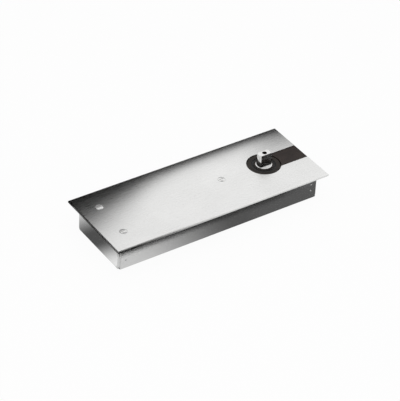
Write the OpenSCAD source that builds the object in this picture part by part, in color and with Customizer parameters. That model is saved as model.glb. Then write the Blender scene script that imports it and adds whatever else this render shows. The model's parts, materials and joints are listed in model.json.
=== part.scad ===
// Floor spring door closer, concealed under a stainless cover plate.
// Origin: on the spindle axis, level with the top of the cover plate, which is the finished floor level.
// +X runs along the box towards its spindle end, +Z is up. Millimetres.

/* [Cover plate] */
// Length of the cover plate
plate_l = 306; // [302:1:316]
// Width of the cover plate
plate_w = 116; // [112:1:126]
// Sheet thickness of the cover plate
plate_t = 1.5; // [1.2:0.1:1.8]
// Depth of the downturned rim, measured from the top face
rim_h = 3; // [2.9:0.1:3.4]
// Bevel along the top edge of the rim
rim_bevel = 0.9; // [0.5:0.1:1.1]
// From the spindle axis to the plate's near end
end_distance = 58; // [55:0.5:60]
// Diameter of the round opening about the spindle
opening_d = 44; // [43.6:0.2:47]
// Width of the removal slot from the opening to the plate's end
slot_w = 28.4; // [27:0.2:31]

/* [Cement box] */
// Outer length of the box
box_l = 291; // [288:1:300]
// Outer width of the box
box_w = 95; // [93:1:104]
// Height of the box
box_h = 36.2; // [35.8:0.1:40]
// Sheet thickness of the box
box_t = 1.2; // [1:0.1:1.4]
// Outer radius of the bends
box_bend = 2.6; // [2:0.1:4]
// Diameter of a plug weld hole
weld_d = 2.2; // [1.5:0.1:3]
// Distance of the plug welds from the box's end
weld_inset = 10; // [6:0.5:14]
// Spacing of the two plug welds of a tab
weld_pitch = 9; // [7:0.5:12]

/* [Closer body] */
// Length of the casting
body_l = 278.5; // [274:0.5:282]
// Width of the casting at its head and tail
body_w = 70; // [69:0.5:74]
// Height of the casting with its cover
body_h = 32; // [32:0.1:33]
// Length of the head that holds the cam chamber
head_l = 97; // [96:0.5:102]
// Length of the tail block that holds the valves
tail_l = 40; // [39:0.5:44]
// Bore of the spring and piston barrel
bore_d = 23; // [22.8:0.1:23.4]
// Wall around the barrel's bore
barrel_wall = 3.6; // [3.2:0.1:3.9]
// Thickness of the chamber cover
cover_t = 3; // [2.8:0.1:3.2]
// Thickness of the gasket below the chamber cover
gasket_t = 0.4; // [0.3:0.1:0.6]
// Width of the chamber's inside
chamber_w = 55; // [54:0.5:56]

/* [Spindle] */
// Height of the spindle above the floor level
nose_h = 17.2; // [14:0.2:24]
// Length of the nose's oval across its round sides, at the top
nose_top_l = 17.6; // [16:0.2:18.4]
// Thickness of the nose across its flats, at the top
nose_top_t = 8.8; // [8:0.2:10]
// Growth of the nose's half length from its top to its base
nose_spread = 0.8; // [0.2:0.1:1.4]
// Growth of the nose's half thickness from its top to its base
nose_taper = 1; // [0.4:0.1:1.6]
// Diameter of the round collar below the nose
collar_d = 25.2; // [24.6:0.1:25.6]
// Diameter of the upper journal
journal_d = 22; // [21.6:0.1:22.2]
// Diameter of the neck between the journal and the cam
neck_d = 20; // [19:0.2:20]
// Side of the square that drives the cam
cam_square = 15; // [14.4:0.1:15.4]
// Diameter of the foot
foot_d = 14.8; // [14:0.1:14.8]
// Core diameter of the M6 thread in the nose
thread_d = 5; // [4.5:0.1:5.4]
// Depth of the threaded hole
thread_depth = 21.2; // [18:0.2:26]

/* [Cam and carriage] */
// Travel of the carriage for half a turn of the spindle
cam_lift = 14; // [12:0.5:14]
// Largest opening angle of the door
open_angle = 130; // [90:5:130]
// Distance of the front roller from the spindle axis, door closed
roller_x = 19.2; // [18.9:0.1:19.4]
// Diameter of a roller
roller_d = 14; // [13:0.2:14.2]
// Diameter of the roller pins and the piston pin
pin_d = 7; // [6:0.2:7.4]
// Thickness of the cam
cam_t = 8; // [7.4:0.1:8.4]
// Thickness of a link plate
link_t = 2.5; // [2:0.1:2.7]
// Width of a link plate's arms
link_w = 16; // [14.5:0.1:16]
// Distance of the piston pin from the spindle axis
piston_pin_x = 38; // [37.6:0.2:40]

/* [Piston and springs] */
// Length of the piston's barrel part
piston_l = 36; // [34:0.5:40]
// Wire diameter of the outer spring
wire_d = 4.2; // [3.6:0.1:4.3]
// Outer diameter of the outer spring
spring_d = 22; // [21.8:0.1:22.2]
// Turns of the outer spring
spring_turns = 14; // [10:1:16]
// Wire diameter of the inner spring
inner_wire_d = 2.2; // [1.8:0.1:2.4]
// Outer diameter of the inner spring
inner_spring_d = 12.8; // [12.6:0.1:13]
// Turns of the inner spring
inner_turns = 24; // [18:1:28]
// Diameter of the spring guides on the piston and the spring plate
guide_d = 8; // [7.6:0.1:8.2]
// Diameter of the check ball
check_ball_d = 5; // [4.6:0.1:5]
// Diameter of the spring force screw
force_screw_d = 6; // [5:0.1:6]
// Travel that the spring force screw gives the spring plate
force_travel = 10; // [4:1:10]

/* [Bearings] */
// Diameter of a needle
needle_d = 2.9; // [2.6:0.05:2.9]
// Wall of the needle bearing's shell
shell_t = 1; // [0.8:0.1:1.2]
// Diameter of a thrust ball
ball_d = 3.2; // [3:0.1:3.4]
// Radius of the circle that the thrust balls run on
ball_track = 10.2; // [10:0.1:10.4]
// Thickness of a thrust race
race_t = 1.8; // [1.6:0.1:2]
// Number of thrust balls
balls = 16; // [10:1:17]

/* [Fasteners and valves] */
// Diameter of the cover plate screws
plate_screw_d = 5; // [4:0.2:5.4]
// Head diameter of the cover plate screws
plate_head_d = 9.8; // [8.8:0.1:10.4]
// Distance of the rear cover plate screws from the casting's end
plate_screw_inset = 10; // [8:0.5:12]
// Distance between the two rear cover plate screws
plate_screw_gap = 55; // [50:0.5:56]
// Distance of the middle cover plate screw from the spindle axis
mid_screw_x = 63.5; // [60:0.5:80]
// Diameter of the chamber cover screws
cover_screw_d = 4; // [3:0.1:4]
// Diameter of the levelling screws
level_d = 6; // [5:0.2:6.4]
// Diameter of the clamp bolts
clamp_d = 5; // [4:0.2:5.4]
// Diameter of a regulating valve's threaded part
valve_d = 8; // [7:0.2:9]
// Diameter of the oil channels
channel_d = 4; // [3:0.2:4.6]
// Distance of the oil channels from the centre line
channel_y = 21; // [20.6:0.2:22]

/* [Hidden] */
$fn = 64;
eps = 0.01;                     // overlap of cuts with the faces that they open
run = 0.05;                     // radial running clearance
seat_gap = 0.15;                // clearance between fixed neighbours
roll_gap = 0.2;                 // clearance between the cam and the rollers

// Levels, all below the floor level at z = 0
body_drop = 4.5;                // from the floor level to the casting's top
body_top = -body_drop;
body_bottom = body_top - body_h;
cover_bottom = body_top - cover_t;
head_top = cover_bottom - gasket_t;
axis_drop = 0.5;                // of the barrel's axis below the casting's middle
axis_z = body_top - body_h / 2 - axis_drop;
box_top = -rim_h;
box_bottom = box_top - box_h;
floor_top = box_bottom + box_t;
web_bottom = -plate_t;

// Places along the casting
plate_end = end_distance;
cam_slope = cam_lift / PI;      // carriage travel per radian
stroke = cam_lift * open_angle / 180;
rear_roller_x = roller_x + cam_lift;
roller_r = roller_d / 2;
rear_link_r = roller_r + 0.5;
chamber_end = rear_roller_x + rear_link_r + 0.8;
chamber_start = -(piston_pin_x + 6);
head_end = chamber_end + 4.8;
head_start = head_end - head_l;
body_end = head_end - body_l;
tail_start = body_end + tail_l;
piston_front = -(piston_pin_x + 10);
piston_back = piston_front - piston_l;
plug_l = 16;
plug_front = body_end + plug_l;
collar_t = 3;                   // collar of the spring force screw
plate_travel_start = plug_front + 12;
spring_plate_t = 6;
spring_plate_x = plate_travel_start + spring_plate_t;
tail_screw_x = body_end + plate_screw_inset;
valve_x = tail_start - 8;
cross_x = plug_front + 5;

// Levels of the carriage
link_gap = 0.4;                 // between the cam's faces and the links
link_in = cam_t / 2 + link_gap; // from the axis to a link's inner face
link_out = link_in + link_t;
chamber_floor = axis_z - link_out - 0.7;
race_groove = 0.5;              // depth of a race's groove
ball_play = 0.1;
thrust_h = 2 * race_t + ball_d - 2 * race_groove + ball_play;
thrust_top = chamber_floor + 0.1;
thrust_bottom = thrust_top - thrust_h;
race_in = foot_d / 2 + run;
race_out = ball_track + ball_d / 2 + 0.9;
spacer_top = axis_z - cam_t / 2;

// Upper bearing and seal
journal_r = journal_d / 2;
shell_in = journal_r + needle_d + 2 * run;
shell_out = shell_in + shell_t;
hanger_r = shell_out + 4;
bearing_top = body_top - 0.1;
bearing_bottom = axis_z + link_out + 1.2;
lip_t = 1;
seal_bottom = bearing_top + lip_t;
boss_top = -0.6;                // the chamber cover's boss, just below the floor level
seal_top = boss_top - 0.3;
boss_r = opening_d / 2 - 0.5;
seal_r = shell_out + 1;
needles = floor(PI * (journal_d + needle_d) / (needle_d + seat_gap));

// Clamping ears
ear_l = 26;
ear_t = 8;
ear_w = 9;                      // width of an ear beyond the casting's side
ear_room = 2.3;                 // between the ears and the box's sides
ear_shift = 3;                  // sideways shift that an ear's slot allows
ear_top = body_bottom + ear_t;
ear_out = box_w / 2 - box_t - ear_room;
ear_y = ear_out - ear_w / 2;
ear_xs = [head_end - ear_l / 2 - 2, body_end + ear_l / 2 + 1];
level_dx = 6.5;
clamp_dx = -6.5;
washer_t = 1;
washer_r = clamp_d / 2 + 1.9;
near_room = 3;                  // between the casting and the box's near end
box_mid = head_end + near_room + box_t - box_l / 2;

// Fasteners
plate_screw_l = 12;             // the two rear cover plate screws
mid_screw_l = 7.2;              // the middle one
screw_crown = 0.9;              // height of a raised screw head
cover_screw_grip = 8;           // hold of a chamber cover screw in the casting
drive_depth = 3.5;              // depth of the force screw's hexagon socket

bore_r = bore_d / 2;
barrel_r = bore_r + barrel_wall;
piston_r = bore_r - run;
guide_r = guide_d / 2;

// ---------- shared shapes ----------

// A round bar along X from x0 to x1
module bar_x(x0, x1, r, y = 0, z = axis_z) {
    translate([x0, y, z]) rotate([0, 90, 0]) cylinder(h = x1 - x0, r = r);
}

// A round bar along Z from z0 to z1
module bar_z(z0, z1, r, x = 0, y = 0) {
    translate([x, y, z0]) cylinder(h = z1 - z0, r = r);
}

// A block given by its corners
module block(x, y, z) {
    translate([x[0], y[0], z[0]]) cube([x[1] - x[0], y[1] - y[0], z[1] - z[0]]);
}

// A block with round vertical edges
module rounded_block(x, y, z, r) {
    block([x[0] + r, x[1] - r], y, z);
    block(x, [y[0] + r, y[1] - r], z);
    for (cx = [x[0] + r, x[1] - r], cy = [y[0] + r, y[1] - r]) bar_z(z[0], z[1], r, cx, cy);
}

// A ring about Z
module ring_z(z0, z1, r_in, r_out) {
    difference() {
        bar_z(z0, z1, r_out);
        bar_z(z0 - eps, z1 + eps, r_in);
    }
}

// An O-ring about the X axis of the barrel
module o_ring_x(x, r, wire_r, y = 0) {
    translate([x, y, axis_z]) rotate([0, 90, 0])
        rotate_extrude() translate([r, 0]) circle(r = wire_r, $fn = 24);
}

// A countersunk head with its shank, its top at z = 0
module countersunk_screw(d, head_d, length) {
    cone_h = (head_d - d) / 2;
    translate([0, 0, -cone_h]) cylinder(h = cone_h, d1 = d, d2 = head_d);
    translate([0, 0, -length]) cylinder(h = length, d = d);
}

// ---------- cement box ----------

// Section of a wall with its bend into the floor: the wall's outer face is at x = 0
module wall_section() {
    difference() {
        union() {
            translate([-box_t, box_bend]) square([box_t, box_h - box_bend]);
            translate([-box_bend, box_bend]) intersection() {
                circle(r = box_bend);
                translate([0, -box_bend]) square(box_bend);
            }
        }
        translate([-box_bend, box_bend]) circle(r = box_bend - box_t);
    }
}

// A wall with its outer face at x = reach, as long as 2 * half
module folded_wall(reach, half) {
    translate([reach, half, 0]) rotate([90, 0, 0]) linear_extrude(2 * half) wall_section();
}

// The end walls carry on round the corners as tabs, which lie inside the long walls
module corner_tab() {
    tab_l = 17;
    relief = 1.2;               // notch between a tab and the floor's bends
    cx = box_l / 2 - box_bend;
    cy = box_w / 2 - box_t - box_bend;
    z = [box_bend + relief, box_h];
    translate([cx, cy, z[0]]) rotate_extrude(angle = 90)
        translate([box_bend - box_t, 0]) square([box_t, z[1] - z[0]]);
    block([cx - tab_l, cx], [cy + box_bend - box_t, cy + box_bend + eps], z);
}

// Mirrors its children into all four quarters
module quarters() {
    for (sx = [0, 1], sy = [0, 1]) mirror([sx, 0, 0]) mirror([0, sy, 0]) children();
}

weld_drop = 14;                 // from the box's edge down to the upper plug weld

module cement_box() {
    long_half = box_l / 2 - box_bend;
    end_half = box_w / 2 - box_t - box_bend;
    side_half = box_w / 2 - box_bend;
    color("gainsboro") difference() {
        translate([box_mid, 0, box_bottom]) difference() {
            union() {
                block([-long_half, long_half], [-side_half, side_half], [0, box_t]);
                for (a = [0, 180]) rotate(a) folded_wall(box_l / 2, end_half);
                for (a = [90, 270]) rotate(a) folded_wall(box_w / 2, long_half);
                quarters() corner_tab();
            }
            // plug welds that join each tab to the long wall outside it
            quarters() for (k = [0, 1])
                translate([box_l / 2 - weld_inset, box_w / 2, box_h - weld_drop - k * weld_pitch])
                    rotate([90, 0, 0]) cylinder(h = 2 * box_t, d = weld_d, center = true);
        }
        for (x = ear_xs, s = [-1, 1]) bar_z(box_bottom - 1, floor_top + 1, nut_r, x + clamp_dx, s * ear_y);
    }
}

nut_r = clamp_d / 2 + 2.2;

module clinch_nuts() {
    color("silver") for (x = ear_xs, s = [-1, 1]) translate([x + clamp_dx, s * ear_y, 0]) difference() {
        union() {
            bar_z(box_bottom, floor_top, nut_r);
            bar_z(floor_top, body_bottom - seat_gap, nut_r + 0.6);
        }
        bar_z(box_bottom - 1, body_bottom + 1, clamp_d / 2);
    }
}

// ---------- cover plate ----------

plate_screws = [[-mid_screw_x, 0], [tail_screw_x, plate_screw_gap / 2], [tail_screw_x, -plate_screw_gap / 2]];
head_cone = (plate_head_d - plate_screw_d) / 2;

// A long cutter that bevels an edge at the origin which runs along X, for a face towards -Y
module bevel_cutter(length, size) {
    rotate([45, 0, 0]) translate([0, 0, 0])
        cube([length, 2 * size, sqrt(2) * size], center = true);
}

module bevelled_block(x, y, z, size) {
    mx = (x[0] + x[1]) / 2;
    my = (y[0] + y[1]) / 2;
    difference() {
        block(x, y, z);
        for (s = [0, 1]) translate([mx, y[s], z[1]]) rotate(180 * s)
            bevel_cutter(x[1] - x[0] + 2, size);
        for (s = [0, 1]) translate([x[s], my, z[1]]) rotate(180 * s + 90)
            bevel_cutter(y[1] - y[0] + 2, size);
    }
}

module cover_plate() {
    x = [plate_end - plate_l, plate_end];
    y = [-plate_w / 2, plate_w / 2];
    color("lightgray") difference() {
        bevelled_block(x, y, [-rim_h, 0], rim_bevel);
        block([x[0] + plate_t, x[1] - plate_t], [y[0] + plate_t, y[1] - plate_t], [-rim_h - 1, web_bottom]);
        bar_z(-rim_h, 1, opening_d / 2);
        block([0, plate_end + 1], [-slot_w / 2, slot_w / 2], [-rim_h - 1, 1]);
        for (p = plate_screws) translate([p[0], p[1], 0])
            translate([0, 0, -head_cone + eps]) cylinder(h = head_cone, d1 = plate_screw_d + 2 * seat_gap,
                d2 = plate_head_d + 2 * seat_gap);
        for (p = plate_screws) bar_z(-rim_h, 1, plate_screw_d / 2 + seat_gap, p[0], p[1]);
    }
}

module cover_plate_screws() {
    crown_r = (pow(plate_head_d / 2, 2) + screw_crown * screw_crown) / (2 * screw_crown);
    lengths = [mid_screw_l, plate_screw_l, plate_screw_l];
    color("silver") for (i = [0:2]) translate([plate_screws[i][0], plate_screws[i][1], 0]) difference() {
        union() {
            countersunk_screw(plate_screw_d, plate_head_d, lengths[i]);
            intersection() {
                translate([0, 0, screw_crown - crown_r]) sphere(r = crown_r);
                bar_z(-run, screw_crown, plate_head_d / 2);
            }
        }
        block([-plate_head_d, plate_head_d], [-0.6, 0.6], [-0.5, 2]);
    }
}

module slot_infill() {
    top = -0.15;
    ledge = 2.6;                // how far the ledge reaches under the plate on each side
    ledge_t = 1.2;
    half = slot_w / 2 - seat_gap;
    color([0.22, 0.18, 0.17]) difference() {
        union() {
            bevelled_block([0, plate_end], [-half, half], [-rim_h, top], rim_bevel);
            block([opening_d / 2, plate_end - plate_t - 1.5], [-half - ledge, half + ledge], [web_bottom - ledge_t, web_bottom]);
        }
        block([-1, plate_end - plate_t], [-half - 4, half + 4], [-rim_h - 1, web_bottom - ledge_t]);
        bar_z(-rim_h - 1, 1, opening_d / 2 + seat_gap);
    }
}

// ---------- closer body ----------

cover_screw_y = body_w / 2 - 4.4;
cover_screws = [for (x = [head_start + 6, (head_start + head_end) / 2, head_end - 6], s = [-1, 1]) [x, s * cover_screw_y]];

ear_root = 6;                   // how far an ear is sunk into the casting's side

module clamping_ears() {
    for (x = ear_xs, s = [-1, 1]) rounded_block([x - ear_l / 2, x + ear_l / 2],
        s > 0 ? [body_w / 2 - ear_root, ear_out] : [-ear_out, ear_root - body_w / 2], [body_bottom, ear_top], 3);
}

// Holes through the ears: a slot for the clamp bolt, so that the casting can be shifted sideways
module ear_holes() {
    slot_r = clamp_d / 2 + 0.3;
    for (x = ear_xs, s = [-1, 1]) {
        bar_z(body_bottom - 1, ear_top + 1, level_d / 2, x + level_dx, s * ear_y);
        for (t = [-1, 1]) bar_z(body_bottom - 1, ear_top + 1, slot_r, x + clamp_dx, s * ear_y + t * ear_shift / 2);
        translate([x + clamp_dx, s * ear_y, body_bottom + ear_t / 2])
            cube([2 * slot_r, ear_shift, ear_t + 2], center = true);
    }
}

module closer_body() {
    rail_h = channel_d + 8;
    color("dimgray") difference() {
        union() {
            rounded_block([head_start, head_end], [-body_w / 2, body_w / 2], [body_bottom, head_top], 6);
            rounded_block([body_end, tail_start], [-body_w / 2, body_w / 2], [body_bottom, body_top], 6);
            bar_x(tail_start, head_start, barrel_r);
            // rails that hold the oil channels beside the barrel
            for (s = [-1, 1]) block([tail_start - 5, head_start + 5], s > 0 ? [8, channel_y + channel_d]
                : [-channel_y - channel_d, -8], [axis_z - rail_h / 2, axis_z + rail_h / 2]);
            // ribs that stiffen the barrel
            for (k = [1:4]) translate([tail_start + k * (head_start - tail_start) / 5, 0, axis_z])
                cube([4, 2 * channel_y, 2 * barrel_r - 3], center = true);
            clamping_ears();
            // bosses that the cover plate stands on
            bar_z(axis_z + bore_r, web_bottom, plate_head_d / 2 + 1.4, -mid_screw_x, 0);
            for (s = [-1, 1]) bar_z(body_top - 1, web_bottom, plate_head_d / 2 + 1.4, tail_screw_x, s * plate_screw_gap / 2);
        }
        // cam chamber with the pocket for the thrust bearing
        rounded_block([chamber_start, chamber_end], [-chamber_w / 2, chamber_w / 2], [chamber_floor, head_top + 1], 8);
        bar_z(thrust_bottom, chamber_floor + 1, race_out + run);
        ear_holes();
        head_pockets(ear_top);
        // barrel and its wider end for the plug
        bar_x(plug_front - eps, chamber_start + 9, bore_r);
        bar_x(body_end - 1, plug_front, plug_r + run);
        // groove that stops the spring plate from turning
        block([plate_travel_start - 2, spring_plate_x + force_travel + 2], [-key_w / 2 - run, key_w / 2 + run],
              [axis_z - bore_r - key_h - 0.2, axis_z]);
        for (s = [-1, 1]) {
            // long channel into the chamber, drilled from the end, and its plugged mouth
            bar_x(body_end - 1, chamber_start + 4, channel_d / 2, s * channel_y);
            bar_x(body_end - 1, body_end + channel_plug_l, channel_plug_r, s * channel_y);
            // cross channel out of the barrel, drilled from the side, and its plugged mouth
            translate([cross_x, s * body_w / 2, axis_z]) rotate([90 * s, 0, 0])
                cylinder(h = body_w / 2 - bore_r + 3, d = channel_d);
            translate([cross_x, s * (body_w / 2 + 1), axis_z]) rotate([90 * s, 0, 0])
                cylinder(h = channel_plug_l + 1, r = channel_plug_r);
            // seat of the regulating valve
            bar_z(axis_z, body_top, channel_d / 2 + 0.1, valve_x, s * channel_y);
            bar_z(valve_seat_z, body_top + 1, valve_d / 2 + run, valve_x, s * channel_y);
        }
        for (i = [0:2]) {
            depth = i == 0 ? 6 : 12;
            bar_z(web_bottom - depth, 1, plate_screw_d / 2, plate_screws[i][0], plate_screws[i][1]);
            translate([plate_screws[i][0], plate_screws[i][1], -head_cone - seat_gap])
                cylinder(h = head_cone + seat_gap, d1 = plate_screw_d, d2 = plate_head_d + 2 * seat_gap);
        }
        for (p = cover_screws) bar_z(head_top - 10, head_top + 1, cover_screw_d / 2, p[0], p[1]);
    }
}

channel_plug_l = 4;
channel_plug_r = channel_d / 2 + 0.7;
key_w = 4;
key_h = 1.2;
plug_r = bore_r + 2;
valve_seat_z = axis_z + channel_d / 2 + 5;

module chamber_cover() {
    cone_h = cover_screw_d / 2;
    color([0.2, 0.19, 0.18]) difference() {
        union() {
            rounded_block([head_start, head_end], [-body_w / 2, body_w / 2], [cover_bottom, body_top], 6);
            bar_z(bearing_bottom, body_top, hanger_r);
            bar_z(body_top - 1, boss_top - 0.6, boss_r);
            translate([0, 0, boss_top - 0.6]) cylinder(h = 0.6, r1 = boss_r, r2 = boss_r - 0.6);
        }
        bar_z(bearing_bottom - 1, bearing_top, shell_out);
        bar_z(bearing_top - 1, seal_bottom + eps, collar_d / 2 + 0.4);
        bar_z(seal_bottom, 1, seal_r);
        head_pockets(cover_bottom - 1);
        for (p = cover_screws) translate([p[0], p[1], body_top]) {
            translate([0, 0, -cover_t - 1]) cylinder(h = cover_t + 2, d = cover_screw_d + 0.2);
            translate([0, 0, -cone_h]) cylinder(h = cone_h + eps, d1 = cover_screw_d + 2 * seat_gap,
                d2 = 2 * cover_screw_d + 2 * seat_gap);
        }
    }
}

// Room beside the casting for the heads over the ears, from z0 up
module head_pockets(z0) {
    for (x = ear_xs, s = [-1, 1]) {
        bar_z(z0, 0, washer_r + run, x + clamp_dx, s * ear_y);
        bar_z(z0, 0, level_d / 2 + run, x + level_dx, s * ear_y);
    }
}

module chamber_gasket() {
    color("tan") difference() {
        rounded_block([head_start, head_end], [-body_w / 2, body_w / 2], [head_top, cover_bottom], 6);
        rounded_block([chamber_start, chamber_end], [-chamber_w / 2, chamber_w / 2], [head_top - 1, cover_bottom + 1], 8);
        for (p = cover_screws) bar_z(head_top - 1, cover_bottom + 1, cover_screw_d / 2 + 0.1, p[0], p[1]);
        head_pockets(head_top - 1);
    }
}

module chamber_cover_screws() {
    color("silver") for (p = cover_screws) translate([p[0], p[1], body_top - 0.1]) difference() {
        countersunk_screw(cover_screw_d, 2 * cover_screw_d, cover_t + gasket_t + cover_screw_grip);
        translate([0, 0, -1.4]) cylinder(h = 2, d = 0.6 * cover_screw_d, $fn = 6);
    }
}

// ---------- spindle, its bearings and its cam ----------

module shaft_seal() {
    color([0.08, 0.08, 0.08]) difference() {
        bar_z(seal_bottom, seal_top, seal_r);
        bar_z(seal_bottom - 1, seal_top + 1, collar_d / 2 + run);
        // trough between the lip and the outer ring
        translate([0, 0, seal_top]) rotate_extrude()
            translate([(collar_d / 2 + seal_r) / 2, 0]) circle(r = 0.9, $fn = 24);
    }
}

module needle_bearing_shell() {
    color("silver") ring_z(bearing_bottom + 0.2, bearing_top, shell_in, shell_out);
}

module bearing_needles() {
    color("silver") for (k = [0:needles - 1]) rotate(k * 360 / needles)
        bar_z(bearing_bottom + 0.5, bearing_top - 0.4, needle_d / 2, journal_r + run + needle_d / 2);
}

module spindle() {
    collar_bevel = 0.8;
    base_r = nose_top_l / 2 + nose_spread;
    base_t = nose_top_t / 2 + nose_taper;
    nose_z = 0.2;               // where the collar ends and the nose starts
    lean = atan(nose_taper / (nose_h - nose_z));
    cutter = 2 * nose_top_l;    // past the nose on every side
    color("silver") difference() {
        union() {
            // nose: a slim cone with two leaning flats
            difference() {
                translate([0, 0, nose_z - eps]) cylinder(h = nose_h - nose_z + eps, r1 = base_r, r2 = nose_top_l / 2);
                for (s = [0, 1]) rotate(180 * s) translate([0, base_t, nose_z]) rotate([lean, 0, 0])
                    translate([-cutter, 0, -nose_h]) cube([2 * cutter, cutter, 3 * nose_h]);
            }
            bar_z(bearing_top + 0.3, nose_z - collar_bevel, collar_d / 2);
            translate([0, 0, nose_z - collar_bevel])
                cylinder(h = collar_bevel, d1 = collar_d, d2 = collar_d - 2 * collar_bevel);
            bar_z(bearing_bottom, bearing_top + 0.3 + eps, journal_r);
            bar_z(axis_z + cam_t / 2, bearing_bottom + eps, neck_d / 2);
            translate([0, 0, axis_z + eps / 2]) cube([cam_square, cam_square, cam_t + eps], center = true);
            bar_z(thrust_bottom + 0.3, axis_z - cam_t / 2 + eps, foot_d / 2);
        }
        bar_z(nose_h - thread_depth, nose_h + 1, thread_d / 2);
        translate([0, 0, nose_h - 1]) cylinder(h = 1 + eps, d1 = thread_d, d2 = thread_d + 2);
        // bevel round the nose's top
        difference() {
            bar_z(nose_h - 0.6, nose_h + 1, nose_top_l);
            translate([0, 0, nose_h - 0.6]) cylinder(h = 0.6 + eps, r1 = nose_top_l / 2, r2 = nose_top_l / 2 - 0.6);
            bar_z(nose_h - 1, nose_h, nose_top_l / 2 - 0.6);
        }
    }
}

// Heart cam: the path of the roller's centre moves out evenly with the angle, and the
// profile lies one roller radius inside it, so both rollers of the carriage stay on the cam.
function cam_point(a) = let (
        d = roller_x + cam_lift * a / 180,
        n = sqrt(d * d + cam_slope * cam_slope),
        reach = roller_r + roll_gap,
        x = d * cos(a) - reach * (cam_slope * sin(a) + d * cos(a)) / n,
        y = d * sin(a) - reach * (d * sin(a) - cam_slope * cos(a)) / n)
    [x, max(0, y)];

module heart_profile() {
    step = 4;
    flank = [for (a = [0:step:180]) cam_point(a)];
    half_notch = atan(cam_slope / roller_x);
    notch = [for (k = [-2:2]) [roller_x - (roller_r + roll_gap) * cos(k * half_notch / 3),
                               (roller_r + roll_gap) * sin(k * half_notch / 3)]];
    other = [for (i = [len(flank) - 2:-1:0]) [flank[i][0], -flank[i][1]]];
    polygon(concat(flank, other, notch));
}

module heart_cam() {
    hole = cam_square + 2 * run;
    color("slategray") translate([0, 0, axis_z - cam_t / 2]) difference() {
        rotate(180) linear_extrude(cam_t) heart_profile();
        translate([-hole / 2, -hole / 2, -1]) cube([hole, hole, cam_t + 2]);
    }
}

module cam_spacer() {
    color("silver") ring_z(thrust_top, spacer_top, foot_d / 2 + run, neck_d / 2);
}

module thrust_race(z, groove_z) {
    color("silver") difference() {
        ring_z(z, z + race_t, race_in, race_out);
        translate([0, 0, groove_z]) rotate_extrude()
            translate([ball_track, 0]) circle(r = ball_d / 2 + run, $fn = 32);
    }
}

ball_z = (thrust_top + thrust_bottom) / 2;

module thrust_upper_race() { thrust_race(thrust_top - race_t, ball_z); }
module thrust_lower_race() { thrust_race(thrust_bottom, ball_z); }

module thrust_balls() {
    color("silver") for (k = [0:balls - 1]) rotate(k * 360 / balls)
        translate([ball_track, 0, ball_z]) sphere(d = ball_d);
}

// ---------- carriage ----------

slot_r = neck_d / 2 + 0.6;      // half width of the slot that lets the spindle through
ring_r = slot_r + 5.6;
slot_end = stroke + 0.6;

module link(z) {
    color("lightsteelblue") difference() {
        union() {
            for (x = [0, slot_end]) bar_z(z, z + link_t, ring_r, x);
            block([0, slot_end], [-ring_r, ring_r], [z, z + link_t]);
            block([-piston_pin_x, rear_roller_x], [-link_w / 2, link_w / 2], [z, z + link_t]);
            bar_z(z, z + link_t, link_w / 2, -piston_pin_x);
            bar_z(z, z + link_t, rear_link_r, rear_roller_x);
        }
        for (x = [0, slot_end]) bar_z(z - 1, z + link_t + 1, slot_r, x);
        block([0, slot_end], [-slot_r, slot_r], [z - 1, z + link_t + 1]);
        for (x = [-piston_pin_x, -roller_x, rear_roller_x]) bar_z(z - 1, z + link_t + 1, pin_d / 2, x);
    }
}

module upper_link() { link(axis_z + link_in); }
module lower_link() { link(axis_z - link_out); }

module carriage_pins() {
    bevel = 0.4;
    color("silver") for (x = [-piston_pin_x, -roller_x, rear_roller_x]) translate([x, 0, axis_z]) {
        bar_z(-link_out + bevel, link_out - bevel, pin_d / 2);
        translate([0, 0, link_out - bevel]) cylinder(h = bevel, d1 = pin_d, d2 = pin_d - 2 * bevel);
        translate([0, 0, -link_out]) cylinder(h = bevel, d1 = pin_d - 2 * bevel, d2 = pin_d);
    }
}

module roller(x) {
    bevel = 0.5;
    color("slategray") translate([x, 0, axis_z]) rotate_extrude()
        polygon([[pin_d / 2 + run, -cam_t / 2], [roller_r - bevel, -cam_t / 2], [roller_r, -cam_t / 2 + bevel],
                 [roller_r, cam_t / 2 - bevel], [roller_r - bevel, cam_t / 2], [pin_d / 2 + run, cam_t / 2]]);
}

module front_roller() { roller(-roller_x); }
module rear_roller() { roller(rear_roller_x); }

// Places inside the piston, counted from its rear face
ring_x = piston_back + 8;       // groove of the piston ring
ring_w = 3;
ring_depth = 1.6;
guide_l = 5;                    // spring guide behind the rear face
seat_l = 6;                     // length of the check valve's seat, pressed in from the rear
seat_x = piston_back - guide_l + seat_l;
ball_r = check_ball_d / 2;
ball_room_r = ball_r + 0.2;
passage_r = 0.62 * ball_r;
ball_lift = 0.6;
ball_x = seat_x + sqrt(ball_r * ball_r - passage_r * passage_r) + run;
clip_r = 0.6;
clip_x = ball_x + ball_r + ball_lift + clip_r + 0.1;
clip_reach = piston_r - 0.6;

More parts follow.
